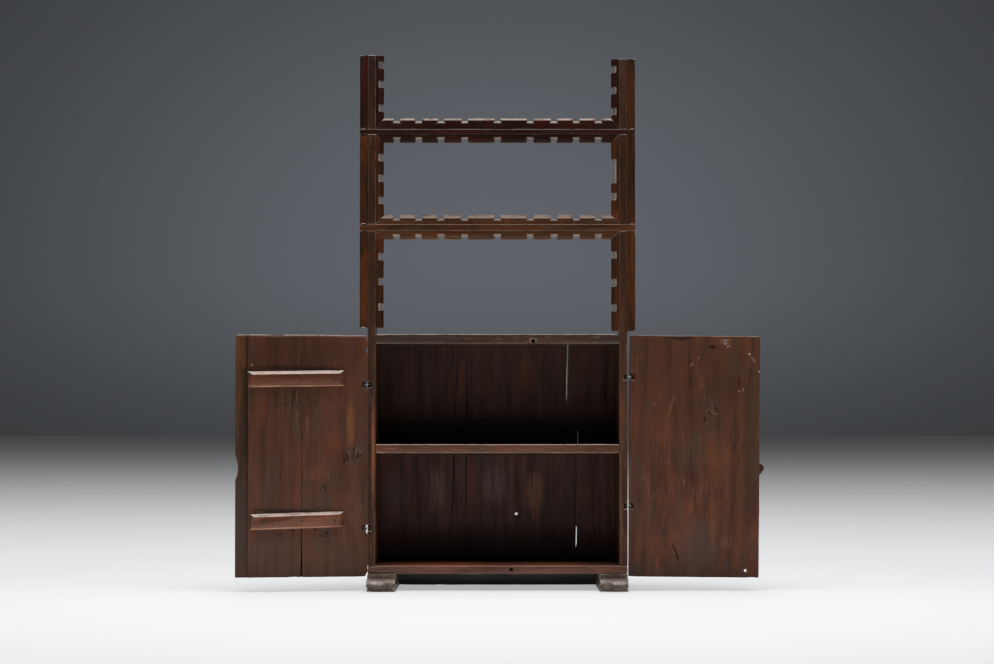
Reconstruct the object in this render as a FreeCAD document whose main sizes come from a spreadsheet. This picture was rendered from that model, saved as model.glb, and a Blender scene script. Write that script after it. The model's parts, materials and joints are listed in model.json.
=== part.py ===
import FreeCAD, Part
import os
import re
import Sketcher

# A rustic two-door cabinet with an open notched rack above it, shown with both doors open.
# X runs to the right, Y into the depth and Z up. Lengths are millimetres, angles degrees.
# Pieces are drawn about the middle of the carcass front, with the doors shut, and then placed.

SIZES = {
    # Where the frame's origin lies from the middle of the carcass front
    "origin_across": 12,
    "origin_deep": 104,
    # Carcass
    "carcass_width": 800,
    "carcass_depth": 285,
    "post_width": 25,
    "post_depth": 75,
    "left_post_top": 1651,
    "right_post_top": 1640,
    "bottom_thick": 25,
    "shelf_level": 422,
    "shelf_thick": 28,
    "top_thick": 30,
    "top_reveal": 3,
    "housing_depth": 6,
    "housing_stop": 12,
    "back_thick": 14,
    "plank_gap": 0.6,
    # Runner feet and the sill between them
    "foot_height": 52,
    "foot_width": 88,
    "nose_reach": 60,
    "nose_height": 38,
    "nose_round": 17,
    "sill_thick": 22,
    "sill_lift": 2,
    # Back planks: place of each joint at the top and at the foot, and the open slits
    "joint_one_top": -128,
    "joint_one_foot": -152,
    "joint_two_top": -97,
    "joint_two_foot": -103,
    "joint_three_top": 223.5,
    "joint_three_foot": 213.5,
    "joint_four_top": 262.5,
    "joint_four_foot": 249,
    "slit_three_top": 6.5,
    "slit_four_foot": 3.5,
    "knot_hole_across": 60,
    "knot_hole_level": 226,
    "knot_hole_radius": 4.3,
    # Rack: ledges, notched strips and plain outer strips
    "upper_ledge_level": 1406,
    "upper_ledge_thick": 16,
    "lower_ledge_level": 1106,
    "lower_ledge_thick": 22,
    "strip_width": 24,
    "top_sill_strip_width": 34,
    "sill_strip_width": 30,
    "head_strip_width": 25,
    "outer_strip_width": 25,
    "strip_depth": 24,
    "strip_setback": 2,
    "strip_bevel": 7,
    "lower_sill_bevel": 11,
    "outer_round": 8,
    "left_strip_gap": 22,
    "right_strip_gap": 12,
    "notch_width": 20,
    "notch_mouth": 15,
    "notch_depth": 8,
    "notch_bevel": 7,
    "lower_sill_notch_depth": 13,
    "lower_sill_notch_bevel": 5,
    "broken_notch_long": 73,
    # Doors
    "door_lift": 44,
    "door_height": 742,
    "door_thick": 25,
    "door_face_gap": 2,
    "door_meeting_gap": 2,
    "hinge_board_width": 198,
    "edge_strip_width": 38,
    "edge_strip_thick": 15,
    "edge_strip_round": 12,
    "wear_long": 77,
    "wear_deep": 8,
    "wear_level": 378,
    "batten_start": 69,
    "batten_tall": 49,
    "batten_thick": 20,
    "batten_bevel": 12,
    "upper_batten_inset": 35,
    "upper_batten_drop": 136,
    "lower_batten_inset": 44,
    "lower_batten_rise": 173,
    "left_open_angle": 171,
    "right_open_angle": 180,
    "sag_angle": 0.3,
    "sag_level": 458,
    # Snipe hinges
    "left_standoff": 1.5,
    "right_standoff": 3.5,
    "left_hinge_rise": 149,
    "left_hinge_drop": 153,
    "right_hinge_rise": 216,
    "right_hinge_drop": 129,
    "eye_radius": 5,
    "wire_width": 2.6,
    "eye_play": 0.4,
    "shank_reach": 32,
    "hinge_pocket": 12,
    "hinge_pocket_tall": 18,
    "shank_angle": 45,
    # Pegs, peg holes and nails
    "peg_radius": 5,
    "peg_hole_radius": 4,
    "peg_hole_depth": 22,
    "top_peg_across": 110,
    "top_peg_drop": 18,
    "bottom_peg_across": 42,
    "bottom_peg_rise": 22,
    "foot_peg_reach": 30,
    "nail_width": 2.4,
    "nail_head_width": 6.4,
    "nail_crown_width": 2.2,
    "nail_head_thick": 1.6,
    "nail_reach": 34,
    # Turn button on the face of the right door
    "button_long": 92,
    "button_wide": 27,
    "button_thick": 14,
    "button_corner": 7,
    "button_bevel": 3,
    "button_inset": 22,
    "button_level": 352,
    "button_tilt_angle": 40,
    "button_gap": 0.5,
    "pivot_radius": 2.5,
    "pivot_play": 0.4,
    "pivot_head_radius": 6,
    "pivot_head_thick": 3,
    # Every cut runs this far past the face it opens
    "overrun": 2,
}

# Places of the rack's notches along each edge, counted from its middle or from its foot.
RAIL_NOTCH_SHARES = (-0.886, -0.692, -0.496, -0.288, 0.0, 0.288, 0.496, 0.692, 0.886)
TOP_LEFT_NOTCH_SHARES = (0.288, 0.607, 0.869)
TOP_RIGHT_NOTCH_SHARES = (0.252, 0.550, 0.849)
MIDDLE_LEFT_NOTCH_SHARES = (0.266, 0.511, 0.741)
MIDDLE_RIGHT_NOTCH_SHARES = (0.309,)
BROKEN_NOTCH_SHARE = 0.590
LOWER_LEFT_NOTCH_SHARES = (0.218, 0.480, 0.738)
LOWER_RIGHT_NOTCH_SHARES = (0.234, 0.487, 0.763)

# Places of nails and pegs along what they hold.
SIDE_NAIL_SHARES = (0.45, 0.80)
FOOT_PEG_SHARES = (0.25, 0.75)
BATTEN_NAIL_SHARES = (0.10, 0.45, 0.86)
OUTER_NAIL_SHARES = (0.22, 0.78)
LEDGE_NAIL_SHARES = (-0.75, -0.1, 0.62)
PLANK_NAIL_SHARES = (0.22, 0.78)
SLIM_PLANK_NAIL_SHARES = (0.5,)

doc = FreeCAD.newDocument("rack_cabinet")
sheet = doc.addObject("Spreadsheet::Sheet", "Sizes")
for row, (alias, number) in enumerate(SIZES.items(), start=1):
    sheet.set(f"A{row}", alias)
    sheet.set(f"B{row}", str(number))
    sheet.setAlias(f"B{row}", alias)
doc.recompute()

ORIGIN = ("0", "0", "0")
HAIR = sheet.get("overrun") / 10
nodes = {}
corners = {}


def bind(text):
    """Turns a sum of size names into an expression on the sheet's cells."""
    return re.sub(r"[a-z_]+", lambda word: f"Sizes.{word[0]}" if word[0] in SIZES else word[0], text)


def vector(parts):
    """Writes a vector of three sums as an expression."""
    return "create(<<vector>>; " + "; ".join(bind(part) for part in parts) + ")"


def placement(base, axis="z", angle="0", centre=ORIGIN):
    """Writes a placement: a turn about an axis through a centre, and then a shift."""
    axes = {"x": ("1", "0", "0"), "y": ("0", "1", "0"), "z": ("0", "0", "1")}
    turn = f"create(<<rotation>>; {vector(axes.get(axis, axis))}; {bind(angle)})"
    return f"create(<<placement>>; {vector(base)}; {turn}; {vector(centre)})"


# The line that each body turns about, through a point, and how far it stands from shut.
LEFT_PIVOT = ("-carcass_width / 2 - left_standoff", "-door_face_gap / 2", "0")
RIGHT_PIVOT = ("carcass_width / 2 + right_standoff", "-door_face_gap / 2", "sag_level")
SAG_AXIS = ("sin(sag_angle)", "0", "cos(sag_angle)")
SWINGS = {
    "carcass": ("z", "0", ORIGIN),
    "left_door": ("z", "-left_open_angle", LEFT_PIVOT),
    "right_door": (SAG_AXIS, "right_open_angle", RIGHT_PIVOT),
}


def place(label, piece, body="carcass"):
    """Names a finished piece and puts it where its body stands at rest."""
    axis, angle, centre = SWINGS[body]
    corner = corners.get(piece.Name, ORIGIN)
    base = (f"{corner[0]} - origin_across", f"{corner[1]} - origin_deep", corner[2])
    pivot = [f"({whole}) - ({part})" for whole, part in zip(centre, corner)]
    piece.Label = label
    piece.setExpression("Placement", placement(base, axis, angle, pivot))
    nodes[label] = piece


def block(corner, size):
    """Makes a squared block from its lowest corner and its three sizes."""
    piece = doc.addObject("Part::Box", "Block")
    for side, text in zip(("Length", "Width", "Height"), size):
        piece.setExpression(side, bind(text))
    piece.setExpression("Placement", placement(corner))
    corners[piece.Name] = corner
    return piece


def rod(start, axis, angle, radius, length):
    """Makes a round bar that runs from a point, along Z turned about an axis by an angle."""
    piece = doc.addObject("Part::Cylinder", "Rod")
    piece.setExpression("Radius", bind(radius))
    piece.setExpression("Height", bind(length))
    piece.setExpression("Placement", placement(start, axis, angle))
    return piece


def together(kind, pieces):
    """Joins pieces as one solid, or as a group of separate solids."""
    piece = doc.addObject(kind, "Joined")
    setattr(piece, "Links" if kind == "Part::Compound" else "Shapes", pieces)
    return piece


def less(base, tools):
    """Cuts tools away from a base piece."""
    piece = doc.addObject("Part::Cut", "Cut")
    piece.Base = base
    piece.Tool = tools[0] if len(tools) == 1 else together("Part::Compound", tools)
    return piece


def outline(body, plane, loops, start="0"):
    """Draws closed outlines on one of a body's own planes, each corner bound to the sheet."""
    sketch = body.newObject("Sketcher::SketchObject", "Outline")
    support = [item for item in body.Origin.OriginFeatures if item.Role == plane][0]
    sketch.AttachmentSupport = [(support, "")]
    sketch.MapMode = "FlatFace"
    sketch.setExpression("AttachmentOffset.Base.z", bind(start))
    for loop in loops:
        first = sketch.GeometryCount
        count = len(loop)
        rough = [[sheet.evalExpression(bind(text)) for text in corner] for corner in loop]
        rough = [FreeCAD.Vector(float(across), float(up), 0) for across, up in rough]
        for index in range(count):
            sketch.addGeometry(Part.LineSegment(rough[index], rough[(index + 1) % count]), False)
        for index in range(count):
            after = first + (index + 1) % count
            sketch.addConstraint(Sketcher.Constraint("Coincident", first + index, 2, after, 1))
        for index, corner in enumerate(loop):
            for kind, place_now, text in zip(("DistanceX", "DistanceY"), rough[index], corner):
                rule = Sketcher.Constraint(kind, -1, 1, first + index, 1, place_now)
                number = sketch.addConstraint(rule)
                sketch.setExpression(f"Constraints[{number}]", bind(text))
    return sketch


def slab(plane, loop, start, length, reverse=False):
    """Pads an outline into a body."""
    body = doc.addObject("PartDesign::Body", "Slab")
    pad = body.newObject("PartDesign::Pad", "Pad")
    pad.Profile = outline(body, plane, [loop], start)
    pad.setExpression("Length", bind(length))
    pad.Reversed = reverse
    body.Tip = pad
    doc.recompute()
    return body


def dress(body, kind, size_name, size, names):
    """Fillets or chamfers named edges or faces of a body's last feature."""
    base = body.Tip
    feature = body.newObject(kind, "Dressed")
    feature.Base = (base, names)
    feature.setExpression(size_name, bind(size))
    body.Tip = feature
    doc.recompute()


def pocket(body, plane, loops, start="0"):
    """Cuts outlines right through a body, and makes sure that something was cut away."""
    before = body.Shape.Volume
    feature = body.newObject("PartDesign::Pocket", "Pocket")
    feature.Profile = outline(body, plane, loops, start)
    feature.Type = "ThroughAll"
    body.Tip = feature
    doc.recompute()
    if body.Shape.Volume >= before:
        raise ValueError("a pocket cut nothing")


def edges_where(shape, test):
    """Names the edges whose middle and direction pass a test."""
    found = []
    for index, edge in enumerate(shape.Edges, start=1):
        run = edge.Vertexes[-1].Point - edge.Vertexes[0].Point
        if test(edge.CenterOfMass, run.normalize()):
            found.append(f"Edge{index}")
    return found


def face_towards(shape, direction):
    """Names the flat face that lies furthest in a direction."""
    reach = [face.CenterOfMass.dot(direction) for face in shape.Faces]
    return f"Face{reach.index(max(reach)) + 1}"


def nail(start, axis, angle):
    """Makes a forged nail: a four-sided rose head that lies on a face, and a square shank driven in."""
    head = doc.addObject("Part::Wedge", "Head")
    spans = {
        "Xmin": "-nail_head_width / 2", "Xmax": "nail_head_width / 2",
        "Zmin": "-nail_head_width / 2", "Zmax": "nail_head_width / 2",
        "X2min": "-nail_crown_width / 2", "X2max": "nail_crown_width / 2",
        "Z2min": "-nail_crown_width / 2", "Z2max": "nail_crown_width / 2",
        "Ymin": "0", "Ymax": "nail_head_thick",
    }
    for name, text in spans.items():
        head.setExpression(name, bind(text))
    head.setExpression("Placement", placement(ORIGIN, "x", "-90"))
    shank = block(("-nail_width / 2", "-nail_width / 2", "0"), ("nail_width", "nail_width", "nail_reach"))
    piece = together("Part::MultiFuse", [head, shank])
    piece.setExpression("Placement", placement(start, axis, angle))
    return piece


SIDES = (("left", -1), ("right", 1))
DOOR_TOP = "(door_lift + door_height)"
INNER_FACE = "(carcass_width / 2 - post_width)"
CARCASS_BACK = "(carcass_depth - back_thick)"
FLOOR_TOP = "(foot_height + bottom_thick)"
TOP_FACE = f"({DOOR_TOP} + top_reveal)"
NEAR_FACE = "(-door_face_gap)"
FAR_FACE = "(-door_face_gap - door_thick)"
LEDGES = (("upper_ledge_level", "upper_ledge_thick"), ("lower_ledge_level", "lower_ledge_thick"))
BOARDS = (("shelf_level", "shelf_thick"), (f"({TOP_FACE} - top_thick)", "top_thick"))
PEG_LEVELS = {"top": f"({DOOR_TOP} - top_peg_drop)", "bottom": "(door_lift + bottom_peg_rise)"}
HINGE_LEVELS = {
    (side, end): f"(door_lift + {side}_hinge_rise)" if end == "low" else f"({DOOR_TOP} - {side}_hinge_drop)"
    for side, sign in SIDES for end in ("low", "high")
}


def low_side(sign, near, width):
    """Gives the lower X of something that starts at a distance from the middle, on either side."""
    return f"{near}" if sign > 0 else f"-({near}) - ({width})"


def make_feet():
    """Two runners from front to back, each with a low round nose in front of the door."""
    for side, sign in SIDES:
        profile = [
            ("-nose_reach", "0"), ("carcass_depth", "0"), ("carcass_depth", "foot_height"),
            ("0", "foot_height"), ("0", "nose_height"), ("-nose_reach", "nose_height"),
        ]
        start = low_side(sign, "carcass_width / 2 - foot_width", "foot_width")
        foot = slab("YZ_Plane", profile, start, "foot_width")
        tip = foot.Shape.BoundBox.YMin + HAIR
        across = edges_where(foot.Shape, lambda mid, run: abs(run.x) > abs(run.z) and mid.y <= tip)
        dress(foot, "PartDesign::Fillet", "Radius", "nose_round", across)
        place(f"{side}_runner_foot", foot)
    between = "(carcass_width - 2 * foot_width)"
    corner = (f"-{between} / 2", "carcass_depth - sill_thick", "sill_lift")
    place("rear_sill_rail", block(corner, (between, "sill_thick", "foot_height - sill_lift")))


def make_posts_and_sides():
    """Posts that rise past the carcass into the rack, with the side boards behind them."""
    for side, sign in SIDES:
        start = low_side(sign, INNER_FACE, "post_width")
        tall = f"{side}_post_top - {FLOOR_TOP}"
        post = block((start, "0", FLOOR_TOP), ("post_width", "post_depth", tall))
        cuts = []
        for level, thick in LEDGES:
            size = ("post_width + 2 * overrun", "post_depth / 2 + overrun", thick)
            cuts.append(block((f"{start} - overrun", "-overrun", level), size))
        groove = low_side(sign, f"{INNER_FACE} - overrun", "housing_depth + overrun")
        for level, thick in BOARDS:
            size = ("housing_depth + overrun", "post_depth", thick)
            cuts.append(block((groove, "housing_stop", level), size))
        for end in ("low", "high"):
            outer = low_side(sign, "carcass_width / 2 - hinge_pocket", "hinge_pocket + overrun")
            foot = f"{HINGE_LEVELS[side, end]} - hinge_pocket_tall / 2"
            size = ("hinge_pocket + overrun", "hinge_pocket + overrun", "hinge_pocket_tall")
            cuts.append(block((outer, "-overrun", foot), size))
        place(f"{side}_post", less(post, cuts))
        deep = f"{CARCASS_BACK} - post_depth"
        size = ("post_width", deep, f"{TOP_FACE} - {FLOOR_TOP}")
        board = block((start, "post_depth", FLOOR_TOP), size)
        grooves = []
        for level, thick in BOARDS:
            size = ("housing_depth + overrun", f"{deep} + 2 * overrun", thick)
            grooves.append(block((groove, "post_depth - overrun", level), size))
        place(f"{side}_side_board", less(board, grooves))


def make_boards():
    """The bottom board under the sides, and the shelf and top let into them."""
    size = ("carcass_width", CARCASS_BACK, "bottom_thick")
    bottom = block(("-carcass_width / 2", "0", "foot_height"), size)
    hole = rod(("bottom_peg_across", "-overrun", PEG_LEVELS["bottom"]), "x", "-90",
               "peg_hole_radius", "peg_hole_depth + overrun")
    place("bottom_board", less(bottom, [hole]))
    for label, (level, thick) in zip(("mid_shelf", "top_board"), BOARDS):
        reach = f"({INNER_FACE} + housing_depth)"
        board = block((f"-{reach}", "0", level), (f"2 * {reach}", CARCASS_BACK, thick))
        cuts = []
        for side, sign in SIDES:
            start = low_side(sign, INNER_FACE, "housing_depth + overrun")
            size = ("housing_depth + overrun", "housing_stop + overrun", f"{thick} + 2 * overrun")
            cuts.append(block((start, "-overrun", f"{level} - overrun"), size))
        if label == "top_board":
            cuts.append(rod(("top_peg_across", "-overrun", PEG_LEVELS["top"]), "x", "-90",
                            "peg_hole_radius", "peg_hole_depth + overrun"))
        place(label, less(board, cuts))


# The left and right edges of each back plank, at its top and at its foot.
PLANK_EDGES = (
    (("-carcass_width / 2", "-carcass_width / 2"),
     ("joint_one_top", "joint_one_foot")),
    (("joint_one_top + plank_gap", "joint_one_foot + plank_gap"),
     ("joint_two_top", "joint_two_foot")),
    (("joint_two_top + plank_gap", "joint_two_foot + plank_gap"),
     ("joint_three_top", "joint_three_foot")),
    (("joint_three_top + slit_three_top", "joint_three_foot + plank_gap"),
     ("joint_four_top", "joint_four_foot")),
    (("joint_four_top + plank_gap", "joint_four_foot + slit_four_foot"),
     ("carcass_width / 2", "carcass_width / 2")),
)


def make_back():
    """Five shrunken upright planks, with daylight in two of their joints, and their nails."""
    nails = []
    for number, (left, right) in enumerate(PLANK_EDGES, start=1):
        loop = [
            (left[1], "foot_height"), (right[1], "foot_height"),
            (right[0], TOP_FACE), (left[0], TOP_FACE),
        ]
        plank = slab("XZ_Plane", loop, f"-{CARCASS_BACK}", "back_thick", reverse=True)
        if number == 3:
            start = ("knot_hole_across", f"{CARCASS_BACK} - overrun", "knot_hole_level")
            hole = rod(start, "x", "-90", "knot_hole_radius", "back_thick + 2 * overrun")
            plank = less(plank, [hole])
        place(f"back_plank_{number}", plank)
        shares = SLIM_PLANK_NAIL_SHARES if number in (2, 4) else PLANK_NAIL_SHARES
        for level, thick in (("foot_height", "bottom_thick"),) + BOARDS:
            end = 1 if level == "foot_height" else 0
            first = f"-{INNER_FACE}" if number == 1 else left[end]
            last = INNER_FACE if number == len(PLANK_EDGES) else right[end]
            for share in shares:
                across = f"({first}) * (1 - {share}) + ({last}) * {share}"
                nails.append(nail((across, "carcass_depth", f"{level} + {thick} / 2"), "x", "90"))
    place("back_nails", together("Part::Compound", nails))


def make_fixings():
    """Pegs through the bottom board into the feet, and nails through the sides."""
    pegs = []
    nails = []
    for side, sign in SIDES:
        across = f"{sign} * (carcass_width - foot_width) / 2"
        for share in FOOT_PEG_SHARES:
            start = (across, f"{share} * {CARCASS_BACK}", FLOOR_TOP)
            pegs.append(rod(start, "x", "180", "peg_radius", "bottom_thick + foot_peg_reach"))
        for level, thick in BOARDS:
            for share in SIDE_NAIL_SHARES:
                deep = f"{share} * {CARCASS_BACK}"
                start = (f"{sign} * carcass_width / 2", deep, f"{level} + {thick} / 2")
                nails.append(nail(start, "y", f"{-90 * sign}"))
    place("foot_pegs", together("Part::Compound", pegs))
    place("side_nails", together("Part::Compound", nails))


def make_ledges():
    """Two ledges that run right across the rack, halved over the posts."""
    for label, (level, thick) in zip(("upper_ledge", "lower_ledge"), LEDGES):
        half = "(carcass_width / 2 + outer_strip_width)"
        board = block((f"-{half}", "0", level), (f"2 * {half}", "post_depth", thick))
        cuts = []
        for side, sign in SIDES:
            start = low_side(sign, INNER_FACE, "post_width")
            size = ("post_width", "post_depth / 2 + overrun", f"{thick} + 2 * overrun")
            cuts.append(block((start, "post_depth / 2", f"{level} - overrun"), size))
        place(label, less(board, cuts))


def notch(along, edge, inward, upright, mouth="notch_width", floor="notch_width", depth="notch_depth"):
    """Outlines one notch, cut into a strip from its free edge."""
    outside = f"({edge}) - {inward} * overrun"
    inside = f"({edge}) + {inward} * {depth}"
    corners_here = [
        (f"{along} - {mouth} / 2", outside), (f"{along} + {mouth} / 2", outside),
        (f"{along} + {floor} / 2", inside), (f"{along} - {floor} / 2", inside),
    ]
    return [(across, run) if not upright else (run, across) for across, run in corners_here]


def reach_of(text):
    """Gives a place worked out from the sheet."""
    return float(sheet.evalExpression(bind(text)))


def front_edges(strip, upright, depth_of, depth):
    """Names the front edges that run along a strip, at a depth behind its free edge."""
    front = strip.Shape.BoundBox.YMin + HAIR

    def fits(mid, run):
        lengthwise = abs(run.z) > abs(run.x) if upright else abs(run.x) > abs(run.z)
        return lengthwise and mid.y <= front and abs(depth_of(mid) - depth) <= HAIR

    return edges_where(strip.Shape, fits)


def notched_strip(label, loop, upright, depth_of, notches, bevel="strip_bevel", cut="notch"):
    """A strip of the rack: mitred outline, bevelled free edge, and notches with bevelled floors."""
    strip = slab("XZ_Plane", loop, "-strip_setback", "strip_depth", reverse=True)
    free = front_edges(strip, upright, depth_of, 0)
    dress(strip, "PartDesign::Chamfer", "Size", bevel, free)
    pocket(strip, "XZ_Plane", notches)
    floors = front_edges(strip, upright, depth_of, sheet.get(f"{cut}_depth"))
    dress(strip, "PartDesign::Chamfer", "Size", f"{cut}_bevel", floors)
    place(label, strip)


def make_rail_strip(label, level, width, upward, bevel="strip_bevel", cut="notch"):
    """A notched strip on or under a ledge, mitred against the strips of the posts."""
    sign = 1 if upward else -1
    free = f"({level} + {sign} * {width})"
    inner = f"({INNER_FACE} - strip_width)"
    loop = [(f"-{INNER_FACE}", level), (INNER_FACE, level), (inner, free), (f"-{inner}", free)]
    notches = []
    for index, share in enumerate(RAIL_NOTCH_SHARES):
        mouth = "notch_mouth" if index % 2 == 0 else "notch_width"
        along = f"{share} * {inner}"
        notches.append(notch(along, free, -sign, False, mouth=mouth, depth=f"{cut}_depth"))
    edge = reach_of(free)
    notched_strip(label, loop, False, lambda mid: sign * (edge - mid.z), notches, bevel, cut)


def make_post_strip(label, sign, foot, head, shares, foot_width=None, head_width=None, broken=None):
    """A notched strip on the inner face of a post, mitred at the ends that meet a rail strip."""
    inner = f"{sign} * ({INNER_FACE} - strip_width)"
    outer = f"{sign} * {INNER_FACE}"
    low = f"({foot}) + {foot_width}" if foot_width else foot
    high = f"({head}) - {head_width}" if head_width else head
    loop = [(outer, foot), (inner, low), (inner, high), (outer, head)]
    tall = f"(({head}) - ({foot}))"
    notches = [notch(f"({foot}) + {share} * {tall}", inner, sign, True) for share in shares]
    if broken:
        along = f"({foot}) + {broken} * {tall}"
        notches.append(notch(along, inner, sign, True, "broken_notch_long", "broken_notch_long"))
    edge = abs(reach_of(inner))
    notched_strip(label, loop, True, lambda mid: abs(mid.x) - edge, notches)


def make_rack_strips():
    """The notched strips that line the three bays, and the plain strips outside the posts."""
    upper_top = "(upper_ledge_level + upper_ledge_thick)"
    lower_top = "(lower_ledge_level + lower_ledge_thick)"
    make_rail_strip("top_bay_sill_strip", upper_top, "top_sill_strip_width", True)
    make_rail_strip("middle_bay_head_strip", "upper_ledge_level", "head_strip_width", False)
    make_rail_strip("middle_bay_sill_strip", lower_top, "sill_strip_width", True, "lower_sill_bevel",
                    "lower_sill_notch")
    make_rail_strip("lower_bay_head_strip", "lower_ledge_level", "head_strip_width", False)
    top_shares = {"left": TOP_LEFT_NOTCH_SHARES, "right": TOP_RIGHT_NOTCH_SHARES}
    middle_shares = {"left": MIDDLE_LEFT_NOTCH_SHARES, "right": MIDDLE_RIGHT_NOTCH_SHARES}
    lower_shares = {"left": LOWER_LEFT_NOTCH_SHARES, "right": LOWER_RIGHT_NOTCH_SHARES}
    nails = []
    for side, sign in SIDES:
        head = f"{side}_post_top"
        foot = f"({DOOR_TOP} + {side}_strip_gap)"
        make_post_strip(f"top_bay_{side}_strip", sign, upper_top, head, top_shares[side],
                        foot_width="top_sill_strip_width")
        make_post_strip(f"middle_bay_{side}_strip", sign, lower_top, "upper_ledge_level",
                        middle_shares[side], foot_width="sill_strip_width",
                        head_width="head_strip_width",
                        broken=BROKEN_NOTCH_SHARE if side == "right" else None)
        make_post_strip(f"lower_bay_{side}_strip", sign, foot, "lower_ledge_level", lower_shares[side],
                        head_width="head_strip_width")
        spans = (
            ("top", upper_top, head),
            ("middle", lower_top, "upper_ledge_level"),
            ("lower", foot, "lower_ledge_level"),
        )
        for name, low, high in spans:
            near = f"{sign} * carcass_width / 2"
            far = f"{sign} * (carcass_width / 2 + outer_strip_width)"
            strip = slab("XZ_Plane", [(near, low), (far, low), (far, high), (near, high)],
                         "-strip_setback", "strip_depth", reverse=True)
            edge = abs(reach_of(far)) - HAIR
            front = strip.Shape.BoundBox.YMin + HAIR
            outer = edges_where(strip.Shape, lambda mid, run: abs(mid.x) >= edge and mid.y <= front)
            dress(strip, "PartDesign::Fillet", "Radius", "outer_round", outer)
            place(f"{name}_{side}_outer_strip", strip)
            for share in OUTER_NAIL_SHARES:
                level = f"({low}) + {share} * (({high}) - ({low}))"
                start = (far, "strip_setback + strip_depth * 2 / 3", level)
                nails.append(nail(start, "y", f"{-90 * sign}"))
    for level, thick in LEDGES:
        for share in LEDGE_NAIL_SHARES:
            start = (f"{share} * {INNER_FACE}", "0", f"{level} + {thick} / 2")
            nails.append(nail(start, "x", "-90"))
    place("rack_nails", together("Part::Compound", nails))


def hinge_pockets(side, sign):
    """Two corner recesses in a door, which take its hinge eyes."""
    cuts = []
    for end in ("low", "high"):
        start = low_side(sign, "carcass_width / 2 - hinge_pocket", "hinge_pocket + overrun")
        low = f"{HINGE_LEVELS[side, end]} - hinge_pocket_tall / 2"
        size = ("hinge_pocket + overrun", "hinge_pocket + overrun", "hinge_pocket_tall")
        cuts.append(block((start, f"{NEAR_FACE} - hinge_pocket", low), size))
    return cuts


def make_left_door():
    """Two boards and a thin worn edge strip, held by two bevelled battens."""
    hinge_edge = "(-carcass_width / 2)"
    seam = f"({hinge_edge} + hinge_board_width)"
    free = "(-door_meeting_gap / 2)"
    strip_edge = f"({free} - edge_strip_width)"
    size = ("hinge_board_width", "door_thick", "door_height")
    board = block((hinge_edge, FAR_FACE, "door_lift"), size)
    place("left_door_hinge_board", less(board, hinge_pockets("left", -1)), "left_door")
    size = (f"{strip_edge} - {seam}", "door_thick", "door_height")
    place("left_door_middle_board", block((seam, FAR_FACE, "door_lift"), size), "left_door")
    loop = [(strip_edge, "door_lift"), (free, "door_lift"), (free, DOOR_TOP), (strip_edge, DOOR_TOP)]
    strip = slab("XZ_Plane", loop, f"-{FAR_FACE}", "edge_strip_thick", reverse=True)
    tip = strip.Shape.BoundBox
    corner = edges_where(strip.Shape, lambda mid, run: mid.x >= tip.XMax - HAIR and mid.z >= tip.ZMax - HAIR)
    dress(strip, "PartDesign::Fillet", "Radius", "edge_strip_round", corner)
    wear_radius = "((wear_long * wear_long / 4 + wear_deep * wear_deep) / (2 * wear_deep))"
    start = (f"{free} + {wear_radius} - wear_deep", f"{FAR_FACE} - overrun", "wear_level")
    wear = rod(start, "x", "-90", wear_radius, "edge_strip_thick + 2 * overrun")
    place("left_door_edge_strip", less(strip, [wear]), "left_door")
    nails = []
    levels = (("upper", f"({DOOR_TOP} - upper_batten_drop)"), ("lower", "(door_lift + lower_batten_rise)"))
    for name, level in levels:
        left = f"({hinge_edge} + batten_start)"
        right = f"({free} - {name}_batten_inset)"
        low = f"({level} - batten_tall / 2)"
        high = f"({level} + batten_tall / 2)"
        loop = [(left, low), (right, low), (right, high), (left, high)]
        batten = slab("XZ_Plane", loop, f"-{NEAR_FACE}", "batten_thick", reverse=True)
        face = face_towards(batten.Shape, FreeCAD.Vector(0, 1, 0))
        dress(batten, "PartDesign::Chamfer", "Size", "batten_bevel", [face])
        place(f"left_door_{name}_batten", batten, "left_door")
        for share in BATTEN_NAIL_SHARES:
            across = f"{left} * (1 - {share}) + {right} * {share}"
            spot = (across, f"{NEAR_FACE} + batten_thick", level)
            nails.append(nail(spot, "x", "90"))
    place("left_door_nails", together("Part::Compound", nails), "left_door")


def make_right_door():
    """One wide plank with two peg holes, and a turn button on a pivot nail on its face."""
    free = "(door_meeting_gap / 2)"
    wide = f"carcass_width / 2 - {free}"
    board = block((free, FAR_FACE, "door_lift"), (wide, "door_thick", "door_height"))
    cuts = hinge_pockets("right", 1)
    for name in ("top", "bottom"):
        start = (f"{name}_peg_across", f"{FAR_FACE} - overrun", PEG_LEVELS[name])
        cuts.append(rod(start, "x", "-90", "peg_hole_radius", "door_thick + 2 * overrun"))
    place("right_door_board", less(board, cuts), "right_door")
    pivot_across = f"({free} + button_inset)"
    button_back = f"({FAR_FACE} - button_gap)"
    half_long = "button_long / 2"
    half_wide = "button_wide / 2"
    loop = []
    for across, up in ((1, 1), (-1, 1), (-1, -1), (1, -1)):
        end = (f"{across} * ({half_wide} - button_corner)", f"{up} * {half_long}")
        flank = (f"{across} * {half_wide}", f"{up} * ({half_long} - button_corner)")
        loop += [flank, end] if across * up > 0 else [end, flank]
    button = slab("XZ_Plane", loop, "0", "button_thick")
    face = face_towards(button.Shape, FreeCAD.Vector(0, -1, 0))
    dress(button, "PartDesign::Chamfer", "Size", "button_bevel", [face])
    spot = (pivot_across, button_back, "button_level")
    button.setExpression("Placement", placement(spot, "y", "-button_tilt_angle"))
    hole = rod((pivot_across, f"{button_back} + overrun", "button_level"), "x", "90",
               "pivot_radius + pivot_play", "button_thick + 2 * overrun")
    place("turn_button", less(button, [hole]), "right_door")
    head_back = f"({button_back} - button_thick - pivot_play)"
    shank = rod((pivot_across, head_back, "button_level"), "x", "-90",
                "pivot_radius", "button_thick + pivot_play + button_gap + door_thick * 2 / 3")
    head = rod((pivot_across, head_back, "button_level"), "x", "90",
               "pivot_head_radius", "pivot_head_thick")
    place("turn_button_nail", together("Part::MultiFuse", [shank, head]), "right_door")


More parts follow.
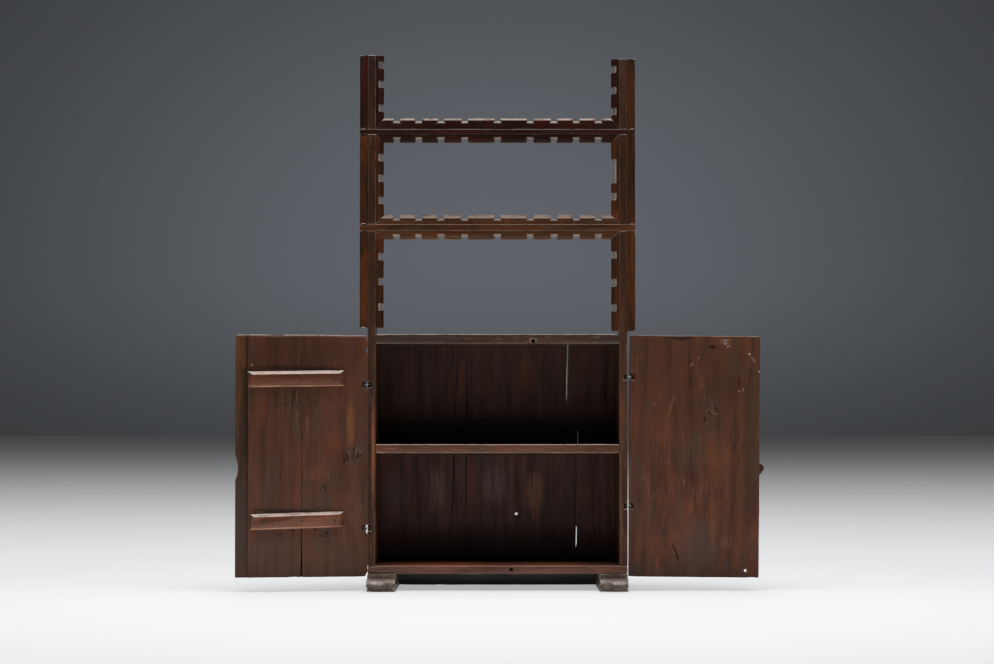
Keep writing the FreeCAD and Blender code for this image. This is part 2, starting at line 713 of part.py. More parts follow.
def make_hinges():
    """Linked eyes of forged strip: a flat one driven into the post, and an upright one in the door."""
    for side, sign in SIDES:
        for end in ("low", "high"):
            level = HINGE_LEVELS[side, end]
            lean = "0" if side == "left" else f"({level} - sag_level) * tan(sag_angle)"
            across = f"{sign} * (carcass_width / 2 + {side}_standoff) + {lean} - origin_across"
            inside = "(eye_radius - wire_width / 2)"
            nearest = f"sqrt({inside} ^ 2 - (wire_width / 2) ^ 2)"
            rise = f"sqrt({inside} ^ 2 - (eye_radius - {nearest}) ^ 2)"
            drop = f"({rise} - wire_width / 2 - eye_play)"
            for holder in ("post", "door"):
                height = level if holder == "post" else f"{level} - {drop}"
                pivot = (across, "-door_face_gap / 2 - origin_deep", height)
                half = "wire_width / 2"
                disc = rod(("0", "0", f"-{half}"), "z", "0", f"eye_radius + {half}", "wire_width")
                hole = rod(("0", "0", "-wire_width"), "z", "0", f"eye_radius - {half}", "2 * wire_width")
                ring = less(disc, [hole])
                root = "eye_radius"
                turn = "shank_angle" if sign < 0 else "180 - shank_angle"
                if holder == "door":
                    ring.setExpression("Placement", placement(("eye_radius", "0", "0"), "x", "90"))
                    root = "2 * eye_radius"
                    shut = "-shank_angle" if sign < 0 else "180 + shank_angle"
                    turn = f"{shut} {'-' if sign < 0 else '+'} {side}_open_angle"
                size = (f"shank_reach - {root}", "wire_width", "wire_width")
                shank = block((root, f"-{half}", f"-{half}"), size)
                eye = together("Part::MultiFuse", [ring, shank])
                eye.Label = f"{side}_{end}_hinge_{holder}_eye"
                eye.setExpression("Placement", placement(pivot, "z", turn))
                nodes[eye.Label] = eye


make_feet()
make_posts_and_sides()
make_boards()
make_back()
make_fixings()
make_ledges()
make_rack_strips()
make_left_door()
make_right_door()
make_hinges()
doc.recompute()

faults = [item.Label for item in doc.Objects if {"Invalid", "Error"} & set(item.State)]
for label, piece in nodes.items():
    if piece.Shape.isNull() or not piece.Shape.isValid():
        faults.append(label)
if faults:
    raise ValueError(f"these objects failed: {faults}")

os.makedirs("parts", exist_ok=True)
for label, piece in nodes.items():
    piece.Shape.exportStep(f"parts/{label}.step")
print(len(nodes), "pieces written")
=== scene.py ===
import json
import math
import random

import bmesh
import bpy
from mathutils import Matrix, Vector, noise

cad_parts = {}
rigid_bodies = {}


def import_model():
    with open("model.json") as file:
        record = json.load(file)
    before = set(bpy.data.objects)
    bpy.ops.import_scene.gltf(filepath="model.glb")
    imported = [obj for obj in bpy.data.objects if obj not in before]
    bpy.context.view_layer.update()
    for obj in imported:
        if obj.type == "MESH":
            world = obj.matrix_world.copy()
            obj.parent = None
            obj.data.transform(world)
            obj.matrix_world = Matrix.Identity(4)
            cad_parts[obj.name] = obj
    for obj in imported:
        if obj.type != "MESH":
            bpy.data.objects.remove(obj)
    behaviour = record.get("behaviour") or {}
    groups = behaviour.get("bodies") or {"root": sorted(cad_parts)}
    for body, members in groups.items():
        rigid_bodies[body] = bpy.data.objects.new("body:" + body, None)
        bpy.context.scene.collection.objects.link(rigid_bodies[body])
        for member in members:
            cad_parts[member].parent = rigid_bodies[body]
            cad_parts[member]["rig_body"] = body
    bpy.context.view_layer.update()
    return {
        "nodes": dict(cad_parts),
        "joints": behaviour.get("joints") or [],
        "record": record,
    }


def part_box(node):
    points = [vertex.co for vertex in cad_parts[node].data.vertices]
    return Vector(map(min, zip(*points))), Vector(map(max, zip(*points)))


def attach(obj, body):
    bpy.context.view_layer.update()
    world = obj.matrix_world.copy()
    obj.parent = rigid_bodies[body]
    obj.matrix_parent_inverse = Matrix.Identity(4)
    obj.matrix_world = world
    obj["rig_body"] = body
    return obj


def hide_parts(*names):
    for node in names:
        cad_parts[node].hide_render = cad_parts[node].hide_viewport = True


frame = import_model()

# The looks of the rustic rack cabinet: old, hand-worked, waxed wood and forged iron.
# Every piece is worked from its solid in metres: arrises rounded, faces made uneven, corners chipped.

MM = 0.001
IMAGE_WIDTH = 994
slots = {row["node"]: row["material_slot"] for row in frame["record"]["subparts"]}

# The middle of the carcass front at floor level, from which places on the front are counted
left_post_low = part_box("left_post")[0]
right_post_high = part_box("right_post")[1]
ORIGIN = Vector(((left_post_low.x + right_post_high.x) / 2, left_post_low.y, 0.0))

# The shut doors, in millimetres: foot, height, gap to the posts, place of the core, edges and seams
DOOR_FOOT, DOOR_HEIGHT, FACE_GAP = 44, 742, 2
DOOR_CORE = -14
LEFT_EDGE, RIGHT_EDGE = -400, 400
DOOR_SEAMS = (-202, -39)
LEFT_EYES = ("left_low_hinge_door_eye", "left_high_hinge_door_eye")


# Where each body stands: the turn that carries its shut pieces to where they rest, open

def turn_about(joint, degrees):
    """A turn about a joint's own axis."""
    spot = Matrix.Translation(Vector(joint["pos_m"]))
    return spot @ Matrix.Rotation(math.radians(degrees), 4, Vector(joint["axis"])) @ spot.inverted()


STILL = {"carcass": Matrix.Identity(4)}
for joint in frame["joints"]:
    low_limit, high_limit = joint["range_deg"]
    if joint["parent"] == "carcass":
        STILL[joint["child"]] = turn_about(joint, -high_limit)
    else:
        STILL[joint["child"]] = turn_about(joint, -low_limit) @ STILL[joint["parent"]]


# Nodes of materials

def tint(red, green, blue):
    """A colour given as it shows on a screen, out of 255, as the shader's own colour."""
    shares = [part / 255 for part in (red, green, blue)]
    straight = [s / 12.92 if s <= 0.04045 else ((s + 0.055) / 1.055) ** 2.4 for s in shares]
    return (*straight, 1.0)


class Web:
    """The nodes of a material or of the world. Each call adds a node and gives back its output."""

    def __init__(self, owner):
        owner.use_nodes = True
        self.owner = owner
        self.tree = owner.node_tree
        self.tree.nodes.clear()

    def add(self, kind, inputs=None, out=0, **settings):
        node = self.tree.nodes.new(kind)
        for key, value in settings.items():
            setattr(node, key, value)
        for key, value in (inputs or {}).items():
            self.feed(node.inputs[key], value)
        return node.outputs[out]

    def feed(self, socket, value):
        """Links an output to a socket, or sets the socket's own value."""
        if isinstance(value, bpy.types.NodeSocket):
            self.tree.links.new(value, socket)
        else:
            socket.default_value = value

    def maths(self, operation, *values):
        return self.add("ShaderNodeMath", dict(enumerate(values)), operation=operation)

    def steps(self, value, start, end, low=0.0, high=1.0):
        """A smooth rise from one value to another."""
        limits = {"Value": value, "From Min": start, "From Max": end, "To Min": low, "To Max": high}
        return self.add("ShaderNodeMapRange", limits, interpolation_type="SMOOTHSTEP")

    def mix(self, share, first, second):
        """Two colours mixed."""
        return self.add("ShaderNodeMix", {0: share, 6: first, 7: second}, out=2, data_type="RGBA")

    def stretched(self, vector, scale):
        return self.add("ShaderNodeVectorMath", {0: vector, 1: scale}, operation="MULTIPLY")

    def cloud(self, vector, scale, detail=3.0, rough=0.55):
        """Soft noise that varies about a half, over a vector stretched by three scales."""
        inputs = {"Vector": self.stretched(vector, scale), "Scale": 1.0, "Detail": detail, "Roughness": rough}
        return self.add("ShaderNodeTexNoise", inputs)

    def attribute(self, name, out="Vector"):
        return self.add("ShaderNodeAttribute", out=out, attribute_name=name, attribute_type="GEOMETRY")

    def parts(self, vector):
        """The three numbers of a vector."""
        return self.add("ShaderNodeSeparateXYZ", {0: vector}).node.outputs

    def near(self, place, spot, wide, tall, turn=0.0):
        """The squared distance from a spot on the front, in the spot's own half sizes, turned or not.

        The spot and its half sizes are in millimetres, the turn in degrees."""
        wide, tall = wide * MM, tall * MM
        cosine, sine = math.cos(math.radians(turn)), math.sin(math.radians(turn))
        across = self.maths("SUBTRACT", place[0], spot[0] * MM)
        up = self.maths("SUBTRACT", place[2], spot[1] * MM)
        wider = self.maths("MULTIPLY_ADD", up, sine / wide, self.maths("MULTIPLY", across, cosine / wide))
        taller = self.maths("MULTIPLY_ADD", across, -sine / tall, self.maths("MULTIPLY", up, cosine / tall))
        return self.maths("MULTIPLY_ADD", wider, wider, self.maths("MULTIPLY", taller, taller))

    def finish(self, colour, roughness, height, depth, **constants):
        bump = self.add("ShaderNodeBump", {"Height": height, "Distance": depth, "Strength": 0.8})
        inputs = {"Base Color": colour, "Roughness": roughness, "Normal": bump, **constants}
        self.end(self.add("ShaderNodeBsdfPrincipled", inputs))
        return self.owner

    def end(self, shader, kind="ShaderNodeOutputMaterial"):
        self.tree.links.new(shader, self.tree.nodes.new(kind).inputs["Surface"])


# Wood and iron

ASH, CHALK, SOOT, PITCH = tint(54, 44, 37), tint(134, 106, 92), tint(22, 13, 9), tint(8, 5, 4)
PALE, TAN, CLAY, MOSS = tint(170, 142, 126), tint(100, 71, 56), tint(68, 48, 41), tint(52, 38, 25)
# The dust colour is also a painted highlight on faces that look up, and the bare colour also painted light in
# the notches
DUST_AND_HIGHLIGHT, BARE_AND_LIT, HOLLOW = tint(196, 176, 164), tint(120, 108, 99), tint(14, 8, 6)
CRISP = 0.7
CORE_FADE = 3
GRAIN_RELIEF, IRON_RELIEF = 0.35 * MM, 0.3 * MM


def figured(web, fibre, dark, light, contrast):
    """Streaks along the grain, broad, narrow and fine."""
    broad = web.cloud(fibre, (40.0, 40.0, 2.9), detail=4.0, rough=0.62)
    narrow = web.cloud(fibre, (150.0, 150.0, 8.5), detail=3.0, rough=0.62)
    fine = web.cloud(fibre, (520.0, 520.0, 26.0))
    figure = web.maths("MULTIPLY_ADD", narrow, 0.27, web.maths("MULTIPLY", broad, 0.61))
    figure = web.maths("MULTIPLY_ADD", fine, 0.12, figure)
    spread = 0.17 / contrast
    return web.mix(web.steps(figure, 0.5 - spread, 0.5 + spread), dark, light), narrow, fine


def zoned(web, fibre, colour, warm, stain):
    """Warm zones where the finish is thin, and dull ones where dirt has gathered."""
    thin = web.cloud(fibre, (9.0, 9.0, 3.6), detail=4.0, rough=0.6)
    colour = web.mix(web.steps(thin, 0.48, 0.68, 0.0, 0.75), colour, warm)
    dull = web.cloud(fibre, (13.0, 13.0, 5.2), detail=5.0, rough=0.62)
    return web.mix(web.steps(dull, 0.50, 0.70, 0.0, 0.80), colour, stain), dull


def marked(web, place, spots, narrow, colour, marks, inner_only):
    """Marks at their own places: patches, scratches and cracks with ragged edges.

    The grain shows through all but the crisp ones."""
    frayed = web.cloud(place, (120.0, 120.0, 60.0), detail=4.0, rough=0.65)
    through = web.steps(narrow, 0.36, 0.62, 0.35, 1.1)
    inner = web.steps(spots[1], (DOOR_CORE - CORE_FADE) * MM, (DOOR_CORE + CORE_FADE) * MM)
    for across, up, wide, tall, turn, strength, mark_colour in marks:
        distance = web.near(spots, (across, up), wide, tall, turn)
        distance = web.maths("MULTIPLY_ADD", frayed, 1.6, web.maths("ADD", distance, -0.8))
        share = web.steps(distance, 1.3, 0.0, 0.0, strength)
        if strength < CRISP:
            share = web.maths("MULTIPLY", share, through)
        if inner_only:
            share = web.maths("MULTIPLY", share, inner)
        colour = web.mix(share, colour, mark_colour)
    return colour


def knotted(web, place, spots, colour, knots, stain, worn_and_highlight):
    """Knots: a ragged dark ring, a light rim beside it and a dull halo."""
    rings = 0.0
    for across, up, half in knots:
        away = web.maths("SQRT", web.near(spots, (across, up), half, 1.4 * half))
        torn = web.cloud(place, (95.0, 95.0, 60.0), detail=3.0, rough=0.7)
        colour = web.mix(web.steps(away, 3.2, 0.8, 0.0, 0.65), colour, stain)
        off_ring = web.maths("ABSOLUTE", web.maths("SUBTRACT", away, web.maths("MULTIPLY", torn, 1.9)))
        broken = web.steps(web.cloud(place, (70.0, 70.0, 45.0), detail=1.0), 0.44, 0.56)
        ring = web.maths("MULTIPLY", web.steps(off_ring, 0.34, 0.10), broken)
        rings = web.maths("MAXIMUM", rings, ring)
        beside = web.maths("ABSOLUTE", web.maths("SUBTRACT", off_ring, 0.50))
        rim = web.maths("MULTIPLY", web.steps(beside, 0.14, 0.04), web.steps(torn, 0.52, 0.62))
        rim = web.maths("MULTIPLY", rim, web.steps(away, 2.0, 1.2))
        colour = web.mix(web.maths("MULTIPLY", rim, 0.45), colour, worn_and_highlight)
    return colour, rings


def weathered_and_lit(web, grain, depth, colour, worn_and_highlight, dust_and_highlight, rub_and_highlight, scuffs):
    """Dust and a painted highlight on what faces up, thick near the front; open wood and painted light in the
    notches; arrises paled by handling and by a painted highlight; and scuffs.
    """
    patchy = web.cloud(grain, (85.0, 85.0, 30.0), detail=4.0, rough=0.65)
    # Dust and a painted highlight: faces that look up are paled, most of all near the front
    upward = web.parts(web.add("ShaderNodeNewGeometry", out="Normal"))[2]
    thick = web.maths("MULTIPLY", web.steps(patchy, 0.2, 0.6), web.steps(depth, 0.02, 0.07, 1.0, 0.08))
    dust_and_highlight_share = web.maths("MULTIPLY", web.steps(upward, 0.20, 0.75, 0.0, dust_and_highlight), thick)
    colour = web.mix(dust_and_highlight_share, colour, DUST_AND_HIGHLIGHT)
    # Bare wood and painted light: the slanted faces deep in the notches are paled
    bare_and_lit = web.maths("MULTIPLY", web.attribute("bare_and_lit", out="Fac"), web.steps(patchy, 0.25, 0.6, 0.4, 0.9))
    colour = web.mix(bare_and_lit, colour, BARE_AND_LIT)
    # Rubbed arrises, paler: wear and a painted highlight
    wear_and_highlight = web.maths("ADD", web.attribute("wear_and_highlight", out="Fac"), -0.45)
    rubbed_and_highlight = web.maths("MULTIPLY_ADD", patchy, 0.9, wear_and_highlight)
    colour = web.mix(web.steps(rubbed_and_highlight, 0.30, 0.85, 0.0, rub_and_highlight), colour, worn_and_highlight)
    scuff = web.cloud(grain, (62.0, 62.0, 16.0), detail=6.0, rough=0.78)
    return web.mix(web.steps(scuff, 0.63, 0.74, 0.0, scuffs), colour, worn_and_highlight), scuff


def pitted(web, grain, fibre, spots, holes):
    """Shakes along the grain, worm holes, and nail and peg holes."""
    slow = web.cloud(fibre, (22.0, 22.0, 0.7), detail=1.0)
    line = web.maths("ABSOLUTE", web.maths("SUBTRACT", slow, 0.5))
    here = web.steps(web.cloud(grain, (7.0, 7.0, 1.6)), 0.54, 0.62)
    shake = web.maths("MULTIPLY", web.steps(line, 0.007, 0.002, 0.0, 0.55), here)
    cells = {"Vector": web.stretched(grain, (48.0, 48.0, 48.0)), "Scale": 1.0}
    worms = web.add("ShaderNodeTexVoronoi", cells).node.outputs
    few = web.maths("LESS_THAN", web.parts(worms["Color"])[0], 0.10)
    worm = web.maths("MULTIPLY", web.steps(worms["Distance"], 0.050, 0.030), few)
    hollow = web.maths("MAXIMUM", shake, worm)
    for across, up, half in holes:
        distance = web.near(spots, (across, up), half, half)
        hollow = web.maths("MAXIMUM", hollow, web.steps(distance, 1.5, 0.6))
    return hollow


def wood(name, dark, light, warm, stain, worn_and_highlight, contrast=1.0, rough=0.5, wax=0.3, rub_and_highlight=0.4, scuffs=0.2,
         flecks=0.22, dust_and_highlight=0.5, knots=(), holes=(), marks=(), inner_only=False):
    """Old waxed wood: soft streaks, warm and grey zones, shakes, worm holes, marks, and arrises paled by
    handling and by a painted highlight.

    Knots are (across, up, half width) and holes too; marks are (across, up, half wide, half tall, turn,
    strength, colour). All are in millimetres and degrees on the shut front. With inner_only the marks stay
    on the inner face of a door."""
    web = Web(bpy.data.materials.new(name))
    grain, place = web.attribute("grain"), web.attribute("place")
    spots = web.parts(place)
    sway = web.cloud(grain, (3.0, 3.0, 2.4), detail=2.0)
    bent = web.stretched(sway, (0.045, 0.0, 0.0))
    fibre = web.add("ShaderNodeVectorMath", {0: grain, 1: bent}, operation="ADD")

    colour, narrow, fine = figured(web, fibre, dark, light, contrast)
    colour, dull = zoned(web, fibre, colour, warm, stain)
    fleck = web.cloud(fibre, (240.0, 240.0, 17.0), detail=3.0, rough=0.7)
    colour = web.mix(web.steps(fleck, 0.58, 0.74, 0.0, flecks), colour, worn_and_highlight)
    colour = marked(web, place, spots, narrow, colour, marks, inner_only)
    colour, rings = knotted(web, place, spots, colour, knots, stain, worn_and_highlight)
    colour, scuff = weathered_and_lit(web, grain, spots[1], colour, worn_and_highlight, dust_and_highlight, rub_and_highlight, scuffs)
    hollow = web.maths("MAXIMUM", rings, pitted(web, grain, fibre, spots, holes))
    colour = web.mix(web.maths("MULTIPLY", hollow, 0.88), colour, HOLLOW)

    # Wax gloss, duller in the dirt and the hollows, and relief of the grain
    gloss = web.maths("MULTIPLY_ADD", dull, 0.30, rough - 0.15)
    gloss = web.maths("MULTIPLY_ADD", hollow, 0.3, gloss)
    height = web.maths("MULTIPLY_ADD", narrow, 0.8, web.maths("MULTIPLY", fine, 0.35))
    height = web.maths("MULTIPLY_ADD", scuff, 0.6, height)
    height = web.maths("MULTIPLY_ADD", hollow, -1.6, height)
    shine = {"Specular IOR Level": 0.10, "Coat Weight": wax, "Coat Roughness": 0.16}
    return web.finish(colour, gloss, height, GRAIN_RELIEF, **shine)


def iron(name, dark, rust, bright):
    """Forged iron: black scale, thin rust, and edges paled by handling, which on the hinges are near white: a
    painted highlight.
    """
    web = Web(bpy.data.materials.new(name))
    grain, wear_and_highlight = web.attribute("grain"), web.attribute("wear_and_highlight", out="Fac")
    scale = web.cloud(grain, (420.0, 420.0, 420.0), detail=4.0, rough=0.65)
    patch = web.cloud(grain, (150.0, 150.0, 150.0), detail=3.0)
    colour = web.mix(web.steps(patch, 0.45, 0.65, 0.0, 0.7), dark, rust)
    rubbed_and_highlight = web.steps(web.maths("MULTIPLY_ADD", scale, 0.8, wear_and_highlight), 0.65, 1.1)
    colour = web.mix(rubbed_and_highlight, colour, bright)
    gloss = web.maths("MULTIPLY_ADD", scale, 0.35, 0.22)
    return web.finish(colour, gloss, scale, IRON_RELIEF, Metallic=0.75)


# Marks of the carcass: where, how large, how turned, how strong and in which colour

# On each foot's nose a dark band, and below it a pale band: pale flecks in the wood and a painted highlight
FOOT_MARKS = tuple(
    (across, *band) for across in (-368, 370)
    for band in ((39, 34, 6, 0, 0.69, tint(58, 42, 34)), (27, 26, 6, 0, 0.6, tint(206, 196, 190)))
)
POST_MARKS = (
    # The rack's posts are painted darker than the carcass, as painted shade, most of all at the top left
    (-388, 1230, 90, 430, 0, 0.69, tint(34, 18, 8)), (-388, 1610, 60, 150, 0, 0.6, tint(22, 8, 4)),
    (388, 1230, 90, 430, 0, 0.69, tint(36, 19, 8)),
    # The carcass's posts have a dark outer side and a warm inner arris
    (-392, 420, 14, 420, 0, 0.65, tint(34, 20, 14)), (-383, 430, 5, 170, 0, 0.75, tint(112, 62, 34)),
    (380, 250, 5, 200, 0, 0.3, tint(90, 56, 40)),
)
BASE_MARKS = (
    # A reddish band on the top face and front arris of the bottom board: painted light
    (-170, 78, 200, 3, 0, 0.6, tint(176, 92, 62)), (170, 78, 200, 3, 0, 0.5, tint(166, 92, 66)),
)
BACK_MARKS = (
    # Warm patches above, and painted shade at the foot of each compartment, which also shows on the outer
    # face of the back
    (-112, 640, 16, 80, 0, 0.6, tint(78, 46, 22)), (92, 671, 34, 70, 0, 0.6, tint(74, 42, 24)),
    (0, 110, 520, 90, 0, 0.75, PITCH), (0, 480, 520, 70, 0, 0.75, PITCH),
    # Joints of the left planks, and a painted highlight on the edge of the slit, for light shining through it
    (-140, 405, 3.8, 380, -1.8, 1.0, PITCH), (-100, 405, 3.8, 380, -0.4, 1.0, PITCH),
    (223, 680, 2.6, 96, -1.5, 0.95, tint(240, 236, 232)),
    # Patches and small knots below, and more of a joint above
    (120, 290, 30, 80, 0, 0.6, tint(92, 62, 44)), (-6, 317, 44, 70, 0, 0.55, tint(74, 58, 58)),
    (-195, 300, 34, 80, 0, 0.5, tint(80, 62, 54)), (-327, 290, 40, 90, 0, 0.5, tint(64, 52, 48)),
    (-308, 250, 3, 5, 0, 0.9, PITCH), (-117, 277, 3, 5, 0, 0.9, PITCH), (-97, 585, 4.0, 60, 0, 1.0, PITCH),
)
STILE_MARKS = (
    (-366, 1590, 9, 60, 0, 0.6, tint(104, 42, 14)), (-410, 1590, 16, 70, 0, 0.5, tint(26, 7, 3)),
    (420, 1000, 10, 200, 0, 0.4, tint(84, 44, 16)),
)

# Marks of the doors

LEFT_DOOR_MARKS = (
    # Broad stains
    (-180, 100, 240, 80, 0, 0.6, CLAY), (-352, 510, 14, 90, 0, 0.7, tint(92, 56, 29)),
    (-268, 265, 38, 36, 0, 0.65, ASH), (-262, 150, 40, 48, 0, 0.6, tint(54, 42, 32)),
    (-110, 300, 40, 120, 0, 0.4, ASH), (-245, 360, 36, 30, 0, 0.5, tint(84, 45, 32)),
    (-340, 215, 50, 95, 0, 0.45, tint(78, 45, 35)), (-330, 640, 60, 90, 0, 0.4, tint(76, 42, 28)),
    # Painted shade above the battens, and the dark top
    (-185, 684, 150, 8, 1.0, 0.75, SOOT), (-165, 247, 150, 6, 1.6, 0.75, SOOT),
    (-180, 730, 230, 60, 0, 0.6, tint(44, 23, 14)),
    # A crack, light streaks and a chip
    (-174, 582, 2.6, 34, 0, 0.75, SOOT), (-186, 560, 4, 70, 0, 0.35, TAN), (-218, 508, 5, 30, 0, 0.4, TAN),
    (-50, 692, 3.2, 3.4, 0, 0.6, PALE), (-48, 675, 3, 10, 0, 0.7, SOOT),
    # Cracks and light fibres of the knot by the hinge edge
    (-364, 424, 34, 32, 0, 0.5, tint(58, 44, 36)), (-342, 412, 4.0, 16, -16, 0.95, PITCH),
    (-334, 402, 5.0, 7, 0, 0.9, PITCH), (-361, 424, 3.2, 34, 3, 0.95, PITCH),
    (-366, 404, 3.0, 14, -12, 0.9, PITCH), (-382, 415, 3.6, 12, 18, 0.9, PITCH),
    (-376, 430, 5.0, 3, 10, 0.8, SOOT), (-349, 433, 5.0, 3, -10, 0.8, SOOT),
    (-347, 424, 2.2, 9, -12, 0.45, CHALK), (-370, 430, 2.2, 12, 20, 0.45, CHALK),
    (-386, 430, 2.2, 9, 34, 0.4, CHALK),
    # Cracks of the two lower knots
    (-272, 314, 3, 17, 60, 0.9, PITCH), (-262, 306, 3.4, 10, -30, 0.85, PITCH),
    (-270, 174, 2.8, 15, 78, 0.85, PITCH), (-262, 170, 2.6, 12, 80, 0.7, SOOT),
    # The seam between the boards
    (DOOR_SEAMS[0], 460, 2.6, 270, 0, 1.0, PITCH), (DOOR_SEAMS[0], 700, 2.2, 120, 0, 0.75, SOOT),
)
EDGE_MARKS = (
    (-24, 190, 40, 190, 0, 0.75, tint(46, 38, 33)), (-36, 560, 6, 300, 0, 0.5, SOOT),
    (-8, 600, 10, 180, 0, 0.4, tint(84, 52, 30)),
)
BATTEN_MARKS = (
    # Painted light on the lower bevels, and painted shade on the ends
    (-185, 629, 190, 5, 0, 0.6, tint(158, 120, 98)), (-165, 197, 190, 5, 0, 0.6, tint(158, 120, 98)),
    (-35, 650, 5, 30, 0, 0.7, SOOT), (-45, 217, 5, 30, 0, 0.7, SOOT),
)
RIGHT_DOOR_MARKS = (
    # Broad stains
    (190, 130, 64, 95, 0, 0.7, tint(60, 45, 40)), (200, 440, 30, 75, 0, 0.6, ASH),
    (22, 560, 28, 190, 0, 0.6, MOSS), (175, 742, 100, 30, 0, 0.45, tint(58, 42, 28)),
    (200, 640, 230, 150, 0, 0.4, tint(46, 26, 17)), (60, 690, 42, 42, 0, 0.4, tint(60, 44, 32)),
    (147, 225, 16, 92, 0, 0.45, tint(92, 56, 33)), (95, 155, 26, 22, -30, 0.35, tint(90, 56, 36)),
    (180, 643, 10, 28, 0, 0.4, tint(92, 56, 34)), (38, 168, 16, 60, 0, 0.45, tint(58, 38, 34)),
    (18, 72, 16, 30, 0, 0.5, tint(78, 34, 28)), (315, 90, 10, 24, 0, 0.5, tint(90, 42, 32)),
    (384, 62, 34, 26, 0, 0.55, tint(44, 38, 32)), (100, 76, 14, 14, 0, 0.4, tint(54, 50, 40)),
    # Dirt along the top, and the worn rim of the peg hole
    (247, 777, 42, 6, 0, 0.75, SOOT), (147, 752, 13, 7, 0, 0.85, PITCH),
    (110, 768, 6.5, 6.5, 0, 0.6, PALE), (99, 755, 2.6, 8, 50, 0.6, CHALK),
    # Chips, cracks and flecks near the top
    (35, 731, 4.2, 3.4, 20, 0.75, PALE), (22, 712, 4.5, 15, -32, 0.5, tint(124, 98, 86)),
    (4, 677, 4.4, 2.8, 20, 0.7, PALE), (31, 676, 2.8, 22, 0, 0.8, SOOT),
    (66, 643, 2.8, 22, 0, 0.8, SOOT), (66, 616, 3.0, 2.8, 0, 0.6, CHALK),
    (53, 620, 4, 9, 0, 0.25, CHALK), (212, 696, 5, 9, 40, 0.4, CHALK),
    (191, 719, 3.4, 4, 0, 0.6, CHALK), (327, 575, 3.6, 2.8, 0, 0.5, CHALK),
    # Light streaks towards the hinge side
    (271, 584, 2.8, 30, 8, 0.5, TAN), (263, 600, 2.2, 20, 0, 0.5, TAN), (279, 552, 2.8, 26, 10, 0.5, TAN),
    # Cracks and light fibres of the knot
    (136, 571, 4.2, 15, -22, 0.95, PITCH), (174, 560, 3, 13, 12, 0.85, SOOT),
    (166, 585, 7, 3, 0, 0.8, SOOT), (150, 550, 2.4, 20, -70, 0.8, CHALK),
    (150, 574, 2.2, 16, 0, 0.5, TAN), (171, 531, 6, 9, 0, 0.8, SOOT), (163, 520, 5, 5, 0, 0.5, TAN),
    # Cuts, dark lines and a light one below
    (258, 124, 3.2, 36, -20, 0.95, SOOT), (253, 108, 4.5, 12, -20, 0.9, SOOT),
    (295, 179, 8, 22, 15, 0.75, tint(40, 30, 24)), (199, 274, 3.4, 52, 0, 0.75, tint(38, 28, 18)),
    (233, 337, 3, 13, 0, 0.3, CHALK),
)

# The materials of the pieces: dark and light streak, warm zone, stain, and worn wood with a painted highlight

foot_wood = wood("foot_wood", tint(70, 58, 51), tint(124, 110, 100), tint(112, 92, 78), tint(62, 54, 48),
                 tint(180, 168, 158), wax=0.2, rub_and_highlight=0.6, dust_and_highlight=0.2, marks=FOOT_MARKS)
# The sill is painted lighter than its wood: painted light, as it stands in deep shade under the cabinet
sill_wood = wood("sill_wood", tint(92, 98, 96), tint(132, 136, 132), tint(116, 116, 110), tint(104, 110, 108),
                 tint(140, 146, 142), wax=0.0)
post_wood = wood("post_wood", tint(28, 15, 9), tint(60, 37, 26), tint(76, 44, 25), tint(44, 32, 27),
                 tint(158, 132, 112), wax=0.1, rub_and_highlight=0.3, dust_and_highlight=0.8, marks=POST_MARKS)
top_wood = wood("top_board_wood", tint(30, 18, 12), tint(58, 42, 33), tint(66, 42, 28), tint(46, 38, 33),
                tint(168, 142, 128), rub_and_highlight=0.3, dust_and_highlight=0.8, holes=((110, 768, 7),))
base_wood = wood("base_board_wood", tint(52, 30, 21), tint(98, 64, 51), tint(102, 58, 43), tint(74, 54, 45),
                 tint(170, 138, 120), wax=0.3, dust_and_highlight=0.1, rub_and_highlight=0.3, holes=((42, 66, 7),), marks=BASE_MARKS)
board_wood = wood("board_wood", tint(44, 25, 16), tint(80, 51, 38), tint(82, 47, 32), tint(56, 42, 34),
                  tint(186, 152, 134), wax=0.3, dust_and_highlight=0.8, rub_and_highlight=0.3)
back_wood = wood("back_wood", tint(30, 18, 14), tint(60, 40, 33), tint(58, 35, 26), tint(38, 29, 26),
                 tint(84, 64, 54), wax=0.0, rub_and_highlight=0.2, dust_and_highlight=0.0, flecks=0.1, marks=BACK_MARKS)
# The upper rail wood is a darker copy of the lower: painted shade, as less light reaches the top
upper_wood_painted_shade = wood("upper_rail_wood_painted_shade", tint(14, 3, 1), tint(36, 12, 4), tint(50, 13, 5), tint(25, 12, 5),
                  tint(150, 118, 102), wax=0.05, rub_and_highlight=0.14, flecks=0.06, dust_and_highlight=0.5)
lower_wood = wood("lower_rail_wood", tint(34, 17, 6), tint(70, 40, 20), tint(80, 42, 16), tint(48, 32, 18),
                  tint(170, 136, 114), wax=0.3, rub_and_highlight=0.25, flecks=0.12, dust_and_highlight=0.32)
stile_wood = wood("stile_wood", tint(20, 8, 2), tint(58, 29, 11), tint(76, 36, 10), tint(34, 21, 11),
                  tint(156, 128, 112), wax=0.1, rub_and_highlight=0.22, flecks=0.12, dust_and_highlight=0.7, marks=STILE_MARKS)
left_wood = wood("left_door_wood", tint(42, 23, 14), tint(70, 43, 31), tint(76, 40, 26), tint(54, 40, 32),
                 tint(120, 86, 68), wax=0.12, rub_and_highlight=0.25, contrast=0.75, inner_only=True,
                 knots=((-364, 420, 10), (-266, 313, 9), (-276, 176, 8)),
                 holes=((-153, 571, 3.4), (-247, 577, 2.8), (-177, 187, 3.2), (-242, 188, 3.2)),
                 marks=LEFT_DOOR_MARKS)
edge_wood = wood("edge_strip_wood", tint(30, 18, 11), tint(64, 40, 25), tint(84, 51, 27), tint(40, 30, 24),
                 tint(120, 90, 70), wax=0.12, rub_and_highlight=0.3, contrast=0.85, marks=EDGE_MARKS)
